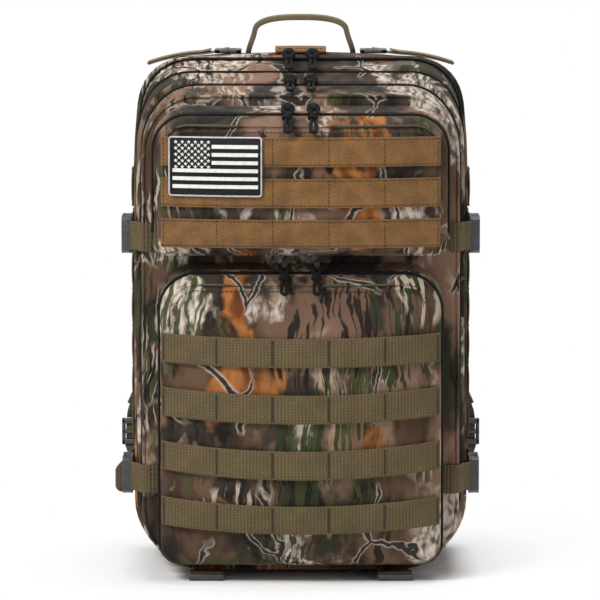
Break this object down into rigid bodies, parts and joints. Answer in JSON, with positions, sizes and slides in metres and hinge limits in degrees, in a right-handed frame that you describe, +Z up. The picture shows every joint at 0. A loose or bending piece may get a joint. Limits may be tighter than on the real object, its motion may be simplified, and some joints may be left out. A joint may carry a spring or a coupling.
{
  "type": "hunting backpack",
  "caption": "Boxy camouflage hunting backpack with zipped compartments, two front pockets, webbing rows, loop tape, side buckles and a padded harness.",
  "frame": {"origin": "on the floor under the middle of the bounding box", "axes": "+Z up, -Y the front with the pockets, +Y the back panel and harness, +X to the right seen from the front"},
  "size_m": [0.326, 0.2893, 0.4886],
  "materials": {
    "camo_fabric": null,
    "coyote_loop": "napped coyote-brown loop tape",
    "olive_webbing": "ribbed olive-brown webbing",
    "black_plastic": "moulded, fine grain",
    "slider_metal": "black enamelled die casting",
    "black_cord": "braided cord",
    "patch_rubber": "moulded soft rubber with a raised pale relief",
    "mesh_pad": "open spacer mesh over foam"
  },
  "bodies": {
    "pack": {"rear_shell": "camo_fabric", "back_pad": "mesh_pad", "shoulder_strap_L": "mesh_pad", "shoulder_strap_R": "mesh_pad", "strap_adjuster_L": "black_plastic", "strap_adjuster_R": "black_plastic", "strap_webbing_L": "olive_webbing", "strap_webbing_R": "olive_webbing", "lifter_strap_L": "olive_webbing", "lifter_strap_R": "olive_webbing", "waist_belt_L": "olive_webbing", "waist_belt_R": "olive_webbing", "side_strap_upper_L": "olive_webbing", "side_strap_upper_R": "olive_webbing", "side_strap_lower_L": "olive_webbing", "side_strap_lower_R": "olive_webbing"},
    "main_front": {"mid_shell": "camo_fabric"},
    "front": {"front_shell": "camo_fabric", "strap_stub_upper_L": "olive_webbing", "strap_stub_upper_R": "olive_webbing", "strap_stub_lower_L": "olive_webbing", "strap_stub_lower_R": "olive_webbing", "buckle_female_upper_L": "black_plastic", "buckle_female_upper_R": "black_plastic", "buckle_female_lower_L": "black_plastic", "buckle_female_lower_R": "black_plastic", "bottom_strap_L": "olive_webbing", "bottom_strap_R": "olive_webbing"},
    "upper_flap": {"upper_pocket_flap": "camo_fabric", "loop_row_1": "coyote_loop", "loop_row_2": "coyote_loop", "loop_row_3": "coyote_loop"},
    "lower_flap": {"lower_pocket_flap": "camo_fabric", "webbing_row_1": "olive_webbing", "webbing_row_2": "olive_webbing", "webbing_row_3": "olive_webbing", "webbing_row_4": "olive_webbing"},
    "patch": {"patch": "patch_rubber"},
    "handle": {"carry_handle": "olive_webbing"},
    "port_cover": {"port_flap": "coyote_loop"},
    "main_slider_L": {"main_slider_L": "slider_metal"},
    "main_pull_L": {"main_pull_L": "black_cord"},
    "main_slider_R": {"main_slider_R": "slider_metal"},
    "main_pull_R": {"main_pull_R": "black_cord"},
    "second_slider_L": {"second_slider_L": "slider_metal"},
    "second_pull_L": {"second_pull_L": "black_cord"},
    "second_slider_R": {"second_slider_R": "slider_metal"},
    "second_pull_R": {"second_pull_R": "black_cord"},
    "upper_slider_L": {"upper_slider_L": "slider_metal"},
    "upper_pull_L": {"upper_pull_L": "black_cord"},
    "upper_slider_R": {"upper_slider_R": "slider_metal"},
    "upper_pull_R": {"upper_pull_R": "black_cord"},
    "lower_slider_L": {"lower_slider_L": "slider_metal"},
    "lower_pull_L": {"lower_pull_L": "black_cord"},
    "lower_slider_R": {"lower_slider_R": "slider_metal"},
    "lower_pull_R": {"lower_pull_R": "black_cord"},
    "buckle_upper_L": {"buckle_male_upper_L": "black_plastic"},
    "buckle_upper_R": {"buckle_male_upper_R": "black_plastic"},
    "buckle_lower_L": {"buckle_male_lower_L": "black_plastic"},
    "buckle_lower_R": {"buckle_male_lower_R": "black_plastic"}
  },
  "joints": [
    {"name": "main_open", "type": "hinge", "parent": "pack", "child": "main_front", "pos_m": [0, 0.017, 0.004], "axis": [1, 0, 0], "range_deg": [0, 90]},
    {"name": "second_open", "type": "hinge", "parent": "main_front", "child": "front", "pos_m": [0, -0.031, 0.004], "axis": [1, 0, 0], "range_deg": [0, 60]},
    {"name": "upper_flap_open", "type": "hinge", "parent": "front", "child": "upper_flap", "pos_m": [0, -0.107, 0.284], "axis": [1, 0, 0], "range_deg": [0, 60]},
    {"name": "lower_flap_open", "type": "hinge", "parent": "front", "child": "lower_flap", "pos_m": [0, -0.107, 0.014], "axis": [1, 0, 0], "range_deg": [0, 60]},
    {"name": "patch_peel", "type": "slide", "parent": "upper_flap", "child": "patch", "axis": [0, -1, 0], "range_m": [0, 0.04]},
    {"name": "handle_swing", "type": "hinge", "parent": "pack", "child": "handle", "pos_m": [0, 0.077, 0.46134], "axis": [-1, 0, 0], "range_deg": [-35, 60]},
    {"name": "port_open", "type": "hinge", "parent": "pack", "child": "port_cover", "pos_m": [0, 0.058, 0.4502], "axis": [-1, 0, 0], "range_deg": [0, 80]},
    {"name": "main_zip_L", "type": "slide", "parent": "main_front", "child": "main_slider_L", "axis": [-1, 0, 0], "range_m": [0, 0.08]},
    {"name": "main_pull_lift_L", "type": "hinge", "parent": "main_slider_L", "child": "main_pull_L", "pos_m": [-0.0105, 0.0105, 0.4555], "axis": [-1, 0, 0], "range_deg": [0, 90]},
    {"name": "main_zip_R", "type": "slide", "parent": "main_front", "child": "main_slider_R", "axis": [1, 0, 0], "range_m": [0, 0.08]},
    {"name": "main_pull_lift_R", "type": "hinge", "parent": "main_slider_R", "child": "main_pull_R", "pos_m": [0.0105, 0.0105, 0.4555], "axis": [-1, 0, 0], "range_deg": [0, 90]},
    {"name": "second_zip_L", "type": "slide", "parent": "front", "child": "second_slider_L", "axis": [-1, 0, 0], "range_m": [0, 0.08]},
    {"name": "second_pull_lift_L", "type": "hinge", "parent": "second_slider_L", "child": "second_pull_L", "pos_m": [-0.009, -0.0375, 0.4355], "axis": [-1, 0, 0], "range_deg": [0, 90]},
    {"name": "second_zip_R", "type": "slide", "parent": "front", "child": "second_slider_R", "axis": [1, 0, 0], "range_m": [0, 0.08]},
    {"name": "second_pull_lift_R", "type": "hinge", "parent": "second_slider_R", "child": "second_pull_R", "pos_m": [0.009, -0.0375, 0.4355], "axis": [-1, 0, 0], "range_deg": [0, 90]},
    {"name": "upper_zip_L", "type": "slide", "parent": "upper_flap", "child": "upper_slider_L", "axis": [-1, 0, 0], "range_m": [0, 0.078]},
    {"name": "upper_pull_lift_L", "type": "hinge", "parent": "upper_slider_L", "child": "upper_pull_L", "pos_m": [-0.011, -0.1055, 0.41436], "axis": [-1, 0, 0], "range_deg": [0, 75]},
    {"name": "upper_zip_R", "type": "slide", "parent": "upper_flap", "child": "upper_slider_R", "axis": [1, 0, 0], "range_m": [0, 0.078]},
    {"name": "upper_pull_lift_R", "type": "hinge", "parent": "upper_slider_R", "child": "upper_pull_R", "pos_m": [0.011, -0.1055, 0.41436], "axis": [-1, 0, 0], "range_deg": [0, 75]},
    {"name": "lower_zip_L", "type": "slide", "parent": "lower_flap", "child": "lower_slider_L", "axis": [-1, 0, 0], "range_m": [0, 0.074]},
    {"name": "lower_pull_lift_L", "type": "hinge", "parent": "lower_slider_L", "child": "lower_pull_L", "pos_m": [-0.014, -0.1055, 0.27736], "axis": [-1, 0, 0], "range_deg": [0, 25]},
    {"name": "lower_zip_R", "type": "slide", "parent": "lower_flap", "child": "lower_slider_R", "axis": [1, 0, 0], "range_m": [0, 0.074]},
    {"name": "lower_pull_lift_R", "type": "hinge", "parent": "lower_slider_R", "child": "lower_pull_R", "pos_m": [0.014, -0.1055, 0.27736], "axis": [-1, 0, 0], "range_deg": [0, 25]},
    {"name": "unclip_upper_L", "type": "slide", "parent": "pack", "child": "buckle_upper_L", "axis": [0, 1, 0], "range_m": [0, 0.024]},
    {"name": "unclip_upper_R", "type": "slide", "parent": "pack", "child": "buckle_upper_R", "axis": [0, 1, 0], "range_m": [0, 0.024]},
    {"name": "unclip_lower_L", "type": "slide", "parent": "pack", "child": "buckle_lower_L", "axis": [0, 1, 0], "range_m": [0, 0.024]},
    {"name": "unclip_lower_R", "type": "slide", "parent": "pack", "child": "buckle_lower_R", "axis": [0, 1, 0], "range_m": [0, 0.024]}
  ]
}
